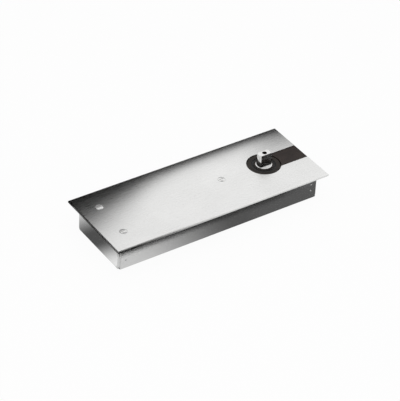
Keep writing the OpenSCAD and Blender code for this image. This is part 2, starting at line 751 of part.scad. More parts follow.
module piston() {
    waist = [piston_front - 14, piston_front - 24];
    waist_mid = (waist[0] + waist[1]) / 2;
    tongue_w = link_w - 1;
    color("slategray") difference() {
        union() {
            bar_x(piston_back, piston_front, piston_r);
            block([piston_front - 1, -piston_pin_x], [-tongue_w / 2, tongue_w / 2], [axis_z - cam_t / 2, axis_z + cam_t / 2]);
            bar_z(axis_z - cam_t / 2, axis_z + cam_t / 2, tongue_w / 2, -piston_pin_x);
            bar_x(piston_back - guide_l, piston_back + 1, guide_r);
        }
        bar_z(axis_z - cam_t, axis_z + cam_t, pin_d / 2, -piston_pin_x);
        // waist between the two lands
        difference() {
            bar_x(waist[1], waist[0], piston_r + 1);
            bar_x(waist[1] - 1, waist[0] + 1, piston_r - 1.5);
        }
        difference() {
            bar_x(ring_x, ring_x + ring_w, piston_r + 1);
            bar_x(ring_x - 1, ring_x + ring_w + 1, piston_r - ring_depth);
        }
        // flats on the front land that let oil past into the waist
        for (s = [-1, 1]) translate([piston_front - 15, s > 0 ? piston_r - 1 : -piston_r - 1, axis_z - 4])
            cube([16, 2, 8]);
        // oil way from the spring side: the check ball's room, then a cross hole into the waist
        bar_x(piston_back - guide_l - 1, waist_mid, ball_room_r);
        bar_z(axis_z - piston_r - 1, axis_z + piston_r + 1, passage_r, waist_mid);
        bar_z(axis_z - piston_r - 1, axis_z + piston_r + 1, clip_r, clip_x);
    }
}

module piston_ring() {
    gap = 1;
    color([0.15, 0.15, 0.15]) difference() {
        bar_x(ring_x + 0.1, ring_x + ring_w - 0.1, bore_r - 0.03);
        bar_x(ring_x - 1, ring_x + ring_w + 1, piston_r - ring_depth + 0.1);
        translate([ring_x - 1, -gap / 2, axis_z]) cube([ring_w + 2, gap, bore_r + 1]);
    }
}

module check_ball() { color("silver") translate([ball_x, 0, axis_z]) sphere(r = ball_r); }

module check_ball_pin() { color("silver") bar_z(axis_z - clip_reach, axis_z + clip_reach, clip_r, clip_x); }

module check_valve_seat() {
    color("goldenrod") difference() {
        bar_x(piston_back - guide_l, seat_x, ball_room_r);
        bar_x(piston_back - guide_l - 1, seat_x + 1, passage_r);
    }
}

// ---------- springs ----------

// A coil about X from x0 to x1, with one closed turn at each end
module coil(x0, x1, mean_r, wire_r, turns, per_turn, sides, hand) {
    first = x0 + wire_r;
    last = x1 - wire_r;
    closed_pitch = 2 * wire_r + 0.1;
    open_pitch = (last - first - 2 * closed_pitch) / (turns - 2);
    function along(t) = t < 1 ? first + closed_pitch * t
        : t > turns - 1 ? last - closed_pitch * (turns - t)
        : first + closed_pitch + open_pitch * (t - 1);
    steps = turns * per_turn;
    points = [for (i = [0:steps], j = [0:sides - 1]) let (
            t = i / per_turn,
            a = hand * 360 * t,
            b = 360 * j / sides,
            r = mean_r + wire_r * cos(b))
        [along(t) + wire_r * sin(b), r * cos(a), r * sin(a)]];
    rings = [for (i = [0:steps - 1], j = [0:sides - 1]) let (
            p = i * sides + j,
            q = i * sides + (j + 1) % sides)
        hand > 0 ? [p, q, q + sides, p + sides] : [p + sides, q + sides, q, p]];
    start = [for (j = [0:sides - 1]) j];
    end = [for (j = [0:sides - 1]) steps * sides + j];
    function turned(list) = [for (j = [len(list) - 1:-1:0]) list[j]];
    translate([0, 0, axis_z]) polyhedron(points,
        concat(rings, hand > 0 ? [turned(start), end] : [start, turned(end)]), convexity = 10);
}

module outer_spring() {
    color("darkgray") coil(spring_plate_x, piston_back, (spring_d - wire_d) / 2, wire_d / 2, spring_turns, 18, 8, 1);
}

module inner_spring() {
    color("darkgray") coil(spring_plate_x, piston_back, (inner_spring_d - inner_wire_d) / 2, inner_wire_d / 2,
        inner_turns, 12, 6, -1);
}

module spring_plate() {
    color("slategray") difference() {
        union() {
            bar_x(plate_travel_start, spring_plate_x, piston_r);
            bar_x(spring_plate_x - 1, spring_plate_x + guide_l, guide_r);
            block([plate_travel_start, spring_plate_x], [-key_w / 2, key_w / 2], [axis_z - bore_r - key_h, axis_z]);
        }
        bar_x(plate_travel_start - 1, spring_plate_x + guide_l + 1, force_screw_d / 2 + run);
        // oil holes
        for (k = [0:2]) rotate_about_barrel(60 + k * 120)
            bar_x(plate_travel_start - 1, spring_plate_x + 1, 1.2, 0, axis_z + 7.6);
    }
}

// Turns its children about the barrel's axis
module rotate_about_barrel(a) {
    translate([0, 0, axis_z]) rotate([a, 0, 0]) translate([0, 0, -axis_z]) children();
}

screw_seal_x = body_end + 6;
screw_seal_r = 0.9;

module spring_force_screw() {
    color("silver") difference() {
        union() {
            bar_x(body_end + 0.5, spring_plate_x + force_travel + guide_l + 1, force_screw_d / 2);
            bar_x(plug_front + 0.1, plug_front + collar_t, force_screw_d / 2 + 3);
        }
        translate([body_end - 1, 0, axis_z]) rotate([0, 90, 0]) cylinder(h = drive_depth + 1.5, d = 0.55 * force_screw_d, $fn = 6);
    }
}

module force_screw_seal() {
    color([0.08, 0.08, 0.08]) o_ring_x(screw_seal_x, force_screw_d / 2 + run + screw_seal_r, screw_seal_r);
}

plug_seal_x = plug_front - 4;

module end_plug() {
    groove_w = 2.2;
    color("slategray") difference() {
        bar_x(body_end + 0.3, plug_front, plug_r);
        bar_x(body_end - 1, plug_front + 1, force_screw_d / 2 + run);
        // groove of the screw's seal
        bar_x(screw_seal_x - groove_w / 2, screw_seal_x + groove_w / 2, force_screw_d / 2 + 2 * screw_seal_r + 0.1);
        difference() {
            bar_x(plug_seal_x - groove_w / 2, plug_seal_x + groove_w / 2, plug_r + 1);
            bar_x(plug_seal_x - groove_w, plug_seal_x + groove_w, plug_r - 1.8);
        }
        // two holes for the pin wrench
        for (s = [-1, 1]) bar_x(body_end - 1, body_end + 4, 1.5, s * 0.68 * plug_r);
    }
}

module end_plug_seal() { color([0.08, 0.08, 0.08]) o_ring_x(plug_seal_x, plug_r - 0.9 + run, 0.9); }

// ---------- valves, plugs and the fasteners of the casting ----------

valve_ring_z = (valve_seat_z + body_top) / 2;
valve_ring_r = 0.8;

module regulating_valve(side) {
    needle_r = channel_d / 2 - 0.2;
    tip_z = axis_z - needle_r / 2;
    top = body_top - 0.4;
    color("goldenrod") translate([valve_x, side * channel_y, 0]) difference() {
        union() {
            bar_z(valve_seat_z + 0.2, top, valve_d / 2);
            bar_z(axis_z + needle_r, valve_seat_z + 0.3, needle_r);
            translate([0, 0, tip_z]) cylinder(h = axis_z + needle_r - tip_z, r1 = 0.4, r2 = needle_r);
        }
        translate([0, 0, valve_ring_z]) rotate_extrude()
            translate([valve_d / 2 - 2 * valve_ring_r, -valve_ring_r - 0.1]) square([4, 2 * valve_ring_r + 0.2]);
        block([-valve_d, valve_d], [-0.5, 0.5], [top - 1.2, top + 1]);
    }
}

module closing_valve() { regulating_valve(1); }
module latching_valve() { regulating_valve(-1); }

module valve_seals() {
    color([0.08, 0.08, 0.08]) for (s = [-1, 1]) translate([valve_x, s * channel_y, valve_ring_z])
        rotate_extrude() translate([valve_d / 2 - valve_ring_r + run, 0]) circle(r = valve_ring_r - run / 2, $fn = 24);
}

module channel_plugs() {
    color("goldenrod") for (s = [-1, 1]) {
        bar_x(body_end, body_end + channel_plug_l, channel_plug_r, s * channel_y);
        translate([cross_x, s * body_w / 2, axis_z]) rotate([90 * s, 0, 0])
            cylinder(h = channel_plug_l, r = channel_plug_r);
    }
}

module levelling_screws() {
    color("silver") for (x = ear_xs, s = [-1, 1]) translate([x + level_dx, s * ear_y, 0]) difference() {
        bar_z(floor_top, ear_top + 1, level_d / 2);
        translate([0, 0, ear_top - 2]) cylinder(h = 4, d = 0.55 * level_d, $fn = 6);
    }
}

module clamp_washers() {
    color("silver") for (x = ear_xs, s = [-1, 1]) translate([x + clamp_dx, s * ear_y, 0])
        ring_z(ear_top, ear_top + washer_t, clamp_d / 2 + 0.2, washer_r);
}

module clamp_bolts() {
    head_h = clamp_d;
    head_z = ear_top + washer_t;
    color("silver") for (x = ear_xs, s = [-1, 1]) translate([x + clamp_dx, s * ear_y, 0]) difference() {
        union() {
            bar_z(head_z, head_z + head_h, 0.85 * clamp_d);
            bar_z(box_bottom + 0.5, head_z + eps, clamp_d / 2);
        }
        translate([0, 0, head_z + head_h - 2.5]) cylinder(h = 4, d = 0.9 * clamp_d, $fn = 6);
    }
}

cement_box();
clinch_nuts();
cover_plate();
cover_plate_screws();
slot_infill();
closer_body();
chamber_cover();
chamber_gasket();
chamber_cover_screws();
shaft_seal();
needle_bearing_shell();
bearing_needles();
spindle();
heart_cam();
cam_spacer();
thrust_upper_race();
thrust_balls();
thrust_lower_race();
upper_link();
lower_link();
carriage_pins();
front_roller();
rear_roller();
piston();
piston_ring();
check_ball();
check_ball_pin();
check_valve_seat();
outer_spring();
inner_spring();
spring_plate();
spring_force_screw();
force_screw_seal();
end_plug();
end_plug_seal();
closing_valve();
latching_valve();
valve_seals();
channel_plugs();
levelling_screws();
clamp_bolts();
clamp_washers();
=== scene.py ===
# %% [markdown]
# # A floor spring door closer
# This lesson dresses a finished construction. The closer's solids come from a CAD model, and here they
# get the finishes that a maker would give them, a few rounded or threaded pieces, a studio and a camera.
# Everything is in metres, with the origin on the spindle's axis at the level of the finished floor.

# %% Load the construction
import json
import math

import bpy
from mathutils import Matrix, Vector


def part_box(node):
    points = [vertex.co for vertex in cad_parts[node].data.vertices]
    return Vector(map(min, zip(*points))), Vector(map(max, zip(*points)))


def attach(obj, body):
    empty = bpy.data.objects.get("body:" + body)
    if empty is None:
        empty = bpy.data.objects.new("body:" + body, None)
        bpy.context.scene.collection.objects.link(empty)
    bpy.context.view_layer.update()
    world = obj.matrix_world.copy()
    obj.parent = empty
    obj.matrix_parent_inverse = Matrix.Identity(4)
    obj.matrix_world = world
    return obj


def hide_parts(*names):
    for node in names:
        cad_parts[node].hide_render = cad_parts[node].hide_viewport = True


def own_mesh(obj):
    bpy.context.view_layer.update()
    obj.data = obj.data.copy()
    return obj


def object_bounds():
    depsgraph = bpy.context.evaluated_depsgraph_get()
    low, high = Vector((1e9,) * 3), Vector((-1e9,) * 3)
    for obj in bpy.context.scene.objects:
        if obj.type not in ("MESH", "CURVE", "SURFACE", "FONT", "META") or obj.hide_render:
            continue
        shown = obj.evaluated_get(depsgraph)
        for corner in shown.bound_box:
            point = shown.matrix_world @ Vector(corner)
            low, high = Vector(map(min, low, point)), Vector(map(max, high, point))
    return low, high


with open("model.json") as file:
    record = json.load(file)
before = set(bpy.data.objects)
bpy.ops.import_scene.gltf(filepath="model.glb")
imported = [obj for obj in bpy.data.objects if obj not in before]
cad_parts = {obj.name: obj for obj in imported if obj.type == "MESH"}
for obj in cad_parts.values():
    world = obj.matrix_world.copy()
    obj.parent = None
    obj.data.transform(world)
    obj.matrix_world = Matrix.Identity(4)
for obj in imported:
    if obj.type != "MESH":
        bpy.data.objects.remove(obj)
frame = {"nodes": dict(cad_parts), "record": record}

cad_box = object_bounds()
nodes = frame["nodes"]
MM = 0.001
print("CAD solids:", len(nodes), "size in mm:", [round((b - a) / MM, 1) for a, b in zip(*cad_box)])

# %% [markdown]
# ## The camera
# A product is best shown from far off with a long lens, so that parallel edges stay nearly parallel. The
# camera is built from its azimuth and elevation round the cover plate's middle, because those two angles
# say at once how a maker would look at the closer. A slight roll and a small shift of the aim place the
# closer in the frame.

# %% Place the camera
PLATE_LOW, PLATE_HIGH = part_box("cover_plate")
AZIMUTH = math.radians(-35.15)
ELEVATION = math.radians(36.92)
ROLL = math.radians(2.85)
DISTANCE = 2.2277
AIM_RIGHT = -0.3 * MM
AIM_UP = -16.5 * MM
LENS, SENSOR = 163.4, 36        # both in millimetres

plate_middle = Vector(((PLATE_LOW.x + PLATE_HIGH.x) / 2, 0, PLATE_HIGH.z))
forward = Vector((-math.sin(AZIMUTH) * math.cos(ELEVATION),
                  math.cos(AZIMUTH) * math.cos(ELEVATION),
                  -math.sin(ELEVATION)))
level_right = Vector((math.cos(AZIMUTH), math.sin(AZIMUTH), 0))
level_up = level_right.cross(forward)
right = level_right * math.cos(ROLL) + level_up * math.sin(ROLL)
up = level_up * math.cos(ROLL) - level_right * math.sin(ROLL)

bpy.ops.object.camera_add()
camera = bpy.context.object
camera.name = "studio_camera"
turn = Matrix((right, up, -forward)).transposed().to_4x4()
turn.translation = plate_middle - forward * DISTANCE + right * AIM_RIGHT + up * AIM_UP
camera.matrix_world = turn
camera.data.lens = LENS
camera.data.sensor_width = SENSOR
camera.data.clip_start = 0.1
camera.data.clip_end = 20
bpy.context.scene.camera = camera
bpy.context.scene.view_settings.view_transform = "Standard"
print("camera stands", round(camera.location.length, 2), "m away")

# %% [markdown]
# ## Nodes for materials
# Every finish below is built from shader nodes. One small function adds a node with its settings, its
# socket values and its links, and another turns a colour as written on a screen (sRGB) to linear light.

# %% Helpers for materials
def linear(hex_colour):
    """The linear colour for a written one such as "#e0e0de"."""
    parts = [int(hex_colour[i:i + 2], 16) / 255 for i in (1, 3, 5)]
    return [c / 12.92 if c <= 0.04045 else ((c + 0.055) / 1.055) ** 2.4 for c in parts] + [1]


def add_node(tree, kind, values=None, links=None, **settings):
    """Adds one node: settings are its properties, values and links its sockets by name or number."""
    node = tree.nodes.new(kind)
    for name, value in settings.items():
        setattr(node, name, value)
    for socket, value in (values or {}).items():
        node.inputs[socket].default_value = value
    for socket, source in (links or {}).items():
        tree.links.new(source, node.inputs[socket])
    return node


def new_material(name):
    """An empty material with its Object coordinates."""
    material = bpy.data.materials.new(name)
    material.use_nodes = True
    tree = material.node_tree
    tree.nodes.clear()
    place = add_node(tree, "ShaderNodeTexCoord").outputs["Object"]
    return material, tree, place

print("a mid grey written #808080 is", round(linear("#808080")[0], 3), "in linear light")

# %% [markdown]
# ## Marks of a real size
# Every tool, mould or bath leaves marks of its own size, and a finish is known by them. A noise texture
# whose scale is worked out from millimetres draws them, and the same noise then moves the colour, the
# roughness and the relief, as one mark does on the real surface.

# %% Helpers for marks
def grain(tree, place, size_mm, detail=3):
    """A noise whose features measure size_mm along X, Y and Z, about 0.5 on average."""
    mapping = add_node(tree, "ShaderNodeMapping", {"Scale": [1 / (s * MM) for s in size_mm]},
                       {"Vector": place})
    noise = add_node(tree, "ShaderNodeTexNoise", {"Scale": 1, "Detail": detail},
                     {"Vector": mapping.outputs[0]})
    return noise.outputs["Fac"]


def spread(tree, factor, low, high, dark=0.3, light=0.7):
    """Turns a noise's middle range into the range from low to high."""
    limits = {"From Min": dark, "From Max": light, "To Min": low, "To Max": high}
    node = add_node(tree, "ShaderNodeMapRange", limits, {"Value": factor})
    return node.outputs["Result"]


def between(tree, factor, first, second):
    """A colour between two written ones."""
    node = add_node(tree, "ShaderNodeMix", {6: linear(first), 7: linear(second)}, {0: factor},
                    data_type="RGBA")
    return node.outputs[2]


def relief(tree, height, depth_mm):
    """A bump of a real depth."""
    node = add_node(tree, "ShaderNodeBump", {"Distance": depth_mm * MM, "Strength": 1}, {"Height": height})
    return node.outputs["Normal"]


def finish_surface(tree, values, links):
    """The surface shader, joined to the material's output."""
    shader = add_node(tree, "ShaderNodeBsdfPrincipled", values, links)
    add_node(tree, "ShaderNodeOutputMaterial", None, {"Surface": shader.outputs[0]})

print("marks of half a millimetre need a scale of", round(1 / (0.5 * MM)), "per metre")

# %% [markdown]
# ## Satin stainless steel
# The cover plate is austenitic stainless sheet, ground lengthwise with a fine belt and left satin. The
# belt leaves short scratches about a fifth of a millimetre wide. They are too fine to show from two
# metres, so they are drawn a little coarser, as a noise stretched along the plate. A painted stripe would
# repeat, and a noise doesn't. Handling leaves faint clouds. A metal's base colour is the share of light
# that it gives back: satin stainless in a bright room looks nearly white.

# %% Satin stainless steel
def satin_stainless():
    material, tree, place = new_material("satin_stainless")
    scratches = grain(tree, place, (24, 0.35, 0.35), 4)
    speckle = grain(tree, place, (1.3, 0.9, 0.9), 2)
    clouds = grain(tree, place, (70, 45, 45), 2)
    tone = add_node(tree, "ShaderNodeMath", None, {0: scratches, 1: speckle}, operation="ADD")
    tone = add_node(tree, "ShaderNodeMath", {1: 0.5}, {0: tone.outputs[0]}, operation="MULTIPLY")
    tone = add_node(tree, "ShaderNodeMath", None, {0: tone.outputs[0], 1: spread(tree, clouds, -0.06, 0.06)},
                    operation="ADD")
    finish_surface(tree, {"Metallic": 1}, {
        "Base Color": between(tree, spread(tree, tone.outputs[0], 0, 1, 0.38, 0.62), "#e3e3e2", "#f1f1f0"),
        "Roughness": spread(tree, scratches, 0.24, 0.34),
        "Normal": relief(tree, scratches, 0.001)})
    return material

# %% [markdown]
# ## Rolled box sheet
# The cement box is folded from cold-rolled steel sheet. The rolls leave it smoother than the ground
# plate, so it mirrors a little more sharply, with faint streaks along its length and a cloudy film from
# the rolling oil. It is made as the plate's finish is, with wider streaks and a shallower relief.

# %% Rolled box sheet
def box_sheet():
    material, tree, place = new_material("rolled_steel_sheet")
    streaks = grain(tree, place, (60, 3, 1.6), 2)
    film = grain(tree, place, (26, 26, 18), 4)
    finish_surface(tree, {"Metallic": 1}, {
        "Base Color": between(tree, spread(tree, film, 0, 1), "#e0e0e0", "#e5e5e4"),
        "Roughness": spread(tree, streaks, 0.17, 0.22),
        "Normal": relief(tree, streaks, 0.0006)})
    return material

# %% [markdown]
# ## Polished, ground and plated steels
# Inside are bearing balls, pins, rollers, links and springs. They are all steel, but each is finished
# another way: what differs is the colour, how sharply they mirror, and the size and direction of the
# marks that the last tool left. One function with those as its arguments makes the whole family.

# %% The family of steels
def worked_steel(name, dark, light, roughness, marks_mm, depth_mm, metallic=1):
    material, tree, place = new_material(name)
    marks = grain(tree, place, marks_mm, 3)
    stain = grain(tree, place, (9, 9, 9), 3)
    finish_surface(tree, {"Metallic": metallic}, {
        "Base Color": between(tree, spread(tree, stain, 0, 1), dark, light),
        "Roughness": spread(tree, marks, roughness[0], roughness[1]),
        "Normal": relief(tree, marks, depth_mm)})
    return material

# %% [markdown]
# ## Cast iron
# The closer's body is a sand casting. The sand leaves a rough skin of grains a little under a millimetre
# over gentle swells, and a grey primer keeps it from rusting. Primer is paint, so the skin isn't
# metallic. A relief of the grains and swells together is enough, since no edge of the casting shows them.

# %% Cast iron under a grey primer
def primed_cast_iron():
    material, tree, place = new_material("primed_cast_iron")
    sand = grain(tree, place, (0.8, 0.8, 0.8), 4)
    swells = grain(tree, place, (14, 14, 14), 2)
    skin = add_node(tree, "ShaderNodeMath", None, {0: sand, 1: swells}, operation="ADD")
    finish_surface(tree, {"Specular IOR Level": 0.35}, {
        "Base Color": between(tree, spread(tree, swells, 0, 1), "#3c3e41", "#505357"),
        "Roughness": spread(tree, sand, 0.62, 0.82),
        "Normal": relief(tree, skin.outputs[0], 0.12)})
    return material

# %% [markdown]
# ## Blackened steel
# The chamber cover and its round boss are steel blackened in a hot salt bath. The oxide is a thin
# brown-black layer. It hides most of the metal's mirror, so the finish is only a little metallic, and the
# turning marks under it show as a fine relief.

# %% Blackened steel
def blackened_steel():
    material, tree, place = new_material("blackened_steel")
    turning = grain(tree, place, (0.7, 0.7, 0.7), 3)
    bath = grain(tree, place, (11, 11, 11), 3)
    finish_surface(tree, {"Metallic": 0.2, "Specular IOR Level": 0.25}, {
        "Base Color": between(tree, spread(tree, bath, 0, 1), "#211d1a", "#332e29"),
        "Roughness": spread(tree, turning, 0.38, 0.56),
        "Normal": relief(tree, turning, 0.01)})
    return material

# %% [markdown]
# ## Moulded plastic
# The strip that fills the plate's slot is a dark brown moulded plastic, and the piston's ring is a filled
# black one. The mould's spark-eroded wall prints a fine texture on them, and the melt's flow leaves faint
# swirls. One function makes both, since only the colour and the gloss differ.

# %% Moulded plastic
def moulded_plastic(name, dark, light, roughness, gloss=0.5):
    material, tree, place = new_material(name)
    spark = grain(tree, place, (0.5, 0.5, 0.5), 2)
    flow = grain(tree, place, (18, 9, 9), 2)
    finish_surface(tree, {"IOR": 1.5, "Specular IOR Level": gloss}, {
        "Base Color": between(tree, spread(tree, flow, 0, 1), dark, light),
        "Roughness": spread(tree, spark, roughness - 0.06, roughness + 0.06),
        "Normal": relief(tree, spark, 0.015)})
    return material

# %% [markdown]
# ## Nitrile rubber
# The seals are nitrile rubber, filled with soot. It is nearly black and dull, with a grey bloom where the
# wax in it has come to the surface. The bloom's noise moves the colour and the roughness together.

# %% Nitrile rubber
def nitrile_rubber():
    material, tree, place = new_material("nitrile_rubber")
    bloom = grain(tree, place, (3, 3, 3), 4)
    finish_surface(tree, {"IOR": 1.52}, {
        "Base Color": between(tree, spread(tree, bloom, 0, 1), "#131313", "#242322"),
        "Roughness": spread(tree, bloom, 0.5, 0.7),
        "Normal": relief(tree, bloom, 0.008)})
    return material

# %% [markdown]
# ## Pressed fibre
# The gasket under the chamber cover is punched from pressed fibre, a hard brown card. Its short fibres lie
# mostly one way, so its noise is longer that way, and nothing in it shines.

# %% Pressed fibre
def pressed_fibre():
    material, tree, place = new_material("pressed_fibre")
    fibres = grain(tree, place, (2.4, 0.4, 0.4), 4)
    finish_surface(tree, {"IOR": 1.45}, {
        "Base Color": between(tree, spread(tree, fibres, 0, 1), "#7d6a4d", "#a39070"),
        "Roughness": spread(tree, fibres, 0.8, 0.95),
        "Normal": relief(tree, fibres, 0.05)})
    return material

# %% [markdown]
# ## Turned brass
# The valves and the plugs of the oil channels are free-cutting brass, turned on a lathe that leaves fine
# rings. Their noise is wide across the axis and thin along it, and brown tarnish clouds the yellow.

# %% Turned brass
def turned_brass():
    material, tree, place = new_material("turned_brass")
    rings = grain(tree, place, (2.5, 2.5, 0.2), 3)
    tarnish = grain(tree, place, (5, 5, 5), 4)
    finish_surface(tree, {"Metallic": 1}, {
        "Base Color": between(tree, spread(tree, tarnish, 0, 1), "#b8923f", "#dcbc6c"),
        "Roughness": spread(tree, rings, 0.2, 0.36),
        "Normal": relief(tree, rings, 0.006)})
    return material

# %% [markdown]
# ## One finish for each slot
# The construction's record says which material slot each solid belongs to. So each slot gets one finish,
# and a loop hands it to every solid of that slot. A steel is given by its darker and lighter colour, the
# range of its roughness, the size of its marks in millimetres along X, Y and Z, and their depth. The
# screws were tumbled with stone, which dulls their mirror, so theirs has a lower metallic value as well.

# %% Make the finishes and hand them out
finishes = {
    "satin_stainless": satin_stainless(),
    "stainless_screw": worked_steel("tumbled_stainless", "#e9e9e8", "#f4f4f3", (0.2, 0.3),
                                    (0.4, 0.4, 0.4), 0.002, 0.65),
    "infill_plastic": moulded_plastic("moulded_brown_plastic", "#231b18", "#2f2622", 0.5, 0.3),
    "box_sheet": box_sheet(),
    "cast_iron": primed_cast_iron(),
    "blackened_cover": blackened_steel(),
    "gasket_fibre": pressed_fibre(),
    "black_rubber": nitrile_rubber(),
    "polished_spindle": worked_steel("polished_steel", "#dededd", "#ededec", (0.06, 0.15),
                                     (0.5, 0.5, 7), 0.003),
    "piston_iron": worked_steel("ground_iron", "#8b8d90", "#a4a6a8", (0.24, 0.38),
                                (0.3, 3, 3), 0.006),
    "ring_plastic": moulded_plastic("filled_bearing_plastic", "#1c1a19", "#2a2826", 0.5),
    "hardened_steel": worked_steel("hardened_ground_steel", "#7f8083", "#9b9c9e", (0.18, 0.3),
                                   (2, 2, 0.3), 0.005),
    "link_steel": worked_steel("stamped_link_steel", "#a6a8ab", "#bdbfc1", (0.28, 0.42),
                               (5, 0.5, 0.5), 0.01),
    "bearing_steel": worked_steel("lapped_bearing_steel", "#c9cacb", "#dfe0e0", (0.05, 0.12),
                                  (0.6, 0.6, 0.6), 0.002),
    "spring_steel": worked_steel("oil_tempered_spring_wire", "#55575b", "#75777a", (0.24, 0.4),
                                 (0.8, 0.8, 0.8), 0.01),
    "zinc_steel": worked_steel("zinc_plated_steel", "#b9bcc1", "#d3d5d8", (0.2, 0.34),
                               (0.9, 0.9, 0.9), 0.008),
    "turned_brass": turned_brass(),
}
slot_of = {part["node"]: part["material_slot"] for part in frame["record"]["subparts"]}
for name, solid in nodes.items():
    solid.data.materials.clear()
    solid.data.materials.append(finishes[slot_of[name]])
for slot, finish in finishes.items():
    print(slot, "is", finish.name, "on", sum(s == slot for s in slot_of.values()), "solids")

# %% [markdown]
# ## Turning a shape
# The spindle and the screws are turned on a lathe. Here a short cone is added for the lowest step of the
# profile, and its top face is extruded and resized up the other steps. An operator acts on all that is
# selected, so a small helper first selects one object alone, and another picks faces by a test.

# %% Helpers that select and turn
def select_only(piece):
    """Makes one object the only selected and the active one."""
    bpy.ops.object.select_all(action="DESELECT")
    piece.select_set(True)
    bpy.context.view_layer.objects.active = piece


def edit_faces(piece, wanted):
    """Opens a piece in edit mode with only the wanted faces selected."""
    select_only(piece)
    bpy.ops.object.mode_set(mode="EDIT")
    bpy.ops.mesh.select_mode(type="FACE")
    bpy.ops.mesh.select_all(action="DESELECT")
    bpy.ops.object.mode_set(mode="OBJECT")
    for face in piece.data.polygons:
        face.select = wanted(face)
    bpy.ops.object.mode_set(mode="EDIT")


def turned(name, steps, sides):
    """A shape turned about Z, from steps of (level, radius) in millimetres, the lowest first."""
    (low, first_radius), (high, radius) = steps[:2]
    bpy.ops.object.select_all(action="DESELECT")
    bpy.ops.mesh.primitive_cone_add(vertices=sides, radius1=first_radius * MM, radius2=radius * MM,
                                    depth=(high - low) * MM, location=(0, 0, (low + high) / 2 * MM))
    piece = bpy.context.object
    piece.name = name
    bpy.ops.object.transform_apply(location=True, rotation=True, scale=True)
    edit_faces(piece, lambda face: face.normal.z > 0.99)
    for level, wider in steps[2:]:
        bpy.ops.mesh.extrude_region_move(TRANSFORM_OT_translate={"value": (0, 0, (level - high) * MM)})
        bpy.ops.transform.resize(value=(wider / radius, wider / radius, 1),
                                 center_override=(0, 0, level * MM))
        high, radius = level, wider
    bpy.ops.object.mode_set(mode="OBJECT")
    return piece

# %% [markdown]
# ## Joining, cutting and rounding
# Shapes are joined and cut with the Boolean modifier. A file or a tumbling barrel then breaks every sharp
# edge by a fifth of a millimetre or so. That thin round catches a line of light, and without it an edge
# looks drawn.

# %% Helpers that combine and round
def combine(piece, other, operation):
    """Joins another shape to the piece, or cuts it away, and removes the other."""
    select_only(piece)
    boolean = piece.modifiers.new("boolean", "BOOLEAN")
    boolean.object = other
    boolean.operation = operation
    boolean.solver = "EXACT"
    bpy.ops.object.modifier_apply(modifier=boolean.name)
    bpy.data.objects.remove(other)


def break_edges(piece, width_mm, sharper_than=30):
    """Rounds every edge sharper than an angle."""
    select_only(piece)
    bevel = piece.modifiers.new("bevel", "BEVEL")
    bevel.width = width_mm * MM
    bevel.segments = 2
    bevel.limit_method = "ANGLE"
    bevel.angle_limit = math.radians(sharper_than)
    bpy.ops.object.modifier_apply(modifier=bevel.name)

# %% [markdown]
# ## Shading a piece and handing it over
# Smooth shading alone would bend the light on a flat face beside a thin round. Weighted normals keep the
# large faces flat. The last helper gives a piece its finish, its body and the solid that it stands for.

# %% Helpers that shade and hand over
def shade_evenly(piece, sharper_than=30):
    """Smooth shading that stays flat on the large faces: their normals outweigh those of the thin rounds."""
    select_only(piece)
    bpy.ops.object.shade_smooth_by_angle(angle=math.radians(sharper_than))
    weighted = piece.modifiers.new("weighted", "WEIGHTED_NORMAL")
    weighted.keep_sharp = True
    bpy.ops.object.modifier_apply(modifier=weighted.name)


def hand_over(piece, slot, body, node):
    """Gives a piece its finish and its body, and hides the solid that it stands for."""
    piece.data.materials.clear()
    piece.data.materials.append(finishes[slot])
    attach(piece, body)
    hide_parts(node)
    low, high = [[round(c / MM, 1) for c in corner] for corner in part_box(node)]
    print(piece.name, "stands for", node, "from", low, "to", high, "with", len(piece.data.polygons), "faces")

# %% [markdown]
# ## The spindle
# The spindle carries the door. Below the floor it is round, with a ground journal and a square that
# drives the cam. A spun profile would do as well, but turning it up its steps keeps each radius and level
# in sight. The square is a block whose edges are broken before it is joined on. A low bright ring is
# ground on the collar about the foot of the nose.

# %% Shaft and square
spindle_low, spindle_high = [corner.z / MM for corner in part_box("spindle")]
cam_low, cam_high = [corner.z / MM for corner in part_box("heart_cam")]
FOOT_R, NECK_R, JOURNAL_R, COLLAR_R, RING_R = 7.4, 10, 11, 12.6, 10.3
JOURNAL_LEVEL, COLLAR_LEVEL, NOSE_LEVEL = -12.9, -4.3, 0.2
FOOT_BEVEL, COLLAR_BEVEL, RING_RISE = 0.5, 0.8, 0.3
SQUARE, JOIN_LAP = 15, 0.01     # the block passes its ends by half the lap, so that the shapes join
SPINDLE_SIDES = 96
SHAFT_BREAK, SQUARE_BREAK, NOSE_BREAK = 0.15, 0.3, 0.22

shaft = turned("door_spindle", [
    (spindle_low, FOOT_R - FOOT_BEVEL), (spindle_low + FOOT_BEVEL, FOOT_R), (cam_high, FOOT_R),
    (cam_high, NECK_R), (JOURNAL_LEVEL, NECK_R), (JOURNAL_LEVEL, JOURNAL_R), (COLLAR_LEVEL, JOURNAL_R),
    (COLLAR_LEVEL, COLLAR_R), (NOSE_LEVEL - COLLAR_BEVEL, COLLAR_R), (NOSE_LEVEL, COLLAR_R - COLLAR_BEVEL),
    (NOSE_LEVEL, RING_R), (NOSE_LEVEL + RING_RISE, RING_R - RING_RISE)], SPINDLE_SIDES)
break_edges(shaft, SHAFT_BREAK)

bpy.ops.object.select_all(action="DESELECT")
bpy.ops.mesh.primitive_cube_add(size=SQUARE * MM, location=(0, 0, (cam_low + cam_high) / 2 * MM))
square = bpy.context.object
square.scale.z = (cam_high - cam_low + JOIN_LAP) / SQUARE
bpy.ops.object.transform_apply(location=True, rotation=True, scale=True)
break_edges(square, SQUARE_BREAK)
combine(shaft, square, "UNION")
print("shaft from", round(spindle_low, 1), "mm, cam square from", round(cam_low, 1), "to", round(cam_high, 1))

# %% [markdown]
# ## The nose
# The nose stands out of the floor and takes the door's bottom strap. It is a slim cone with two leaning
# flats, which centre the strap as its screw pulls it down. A turned cone is cut by two bisect planes, as
# a milling cutter would take the flats, since the round ends are then those of the lathe.

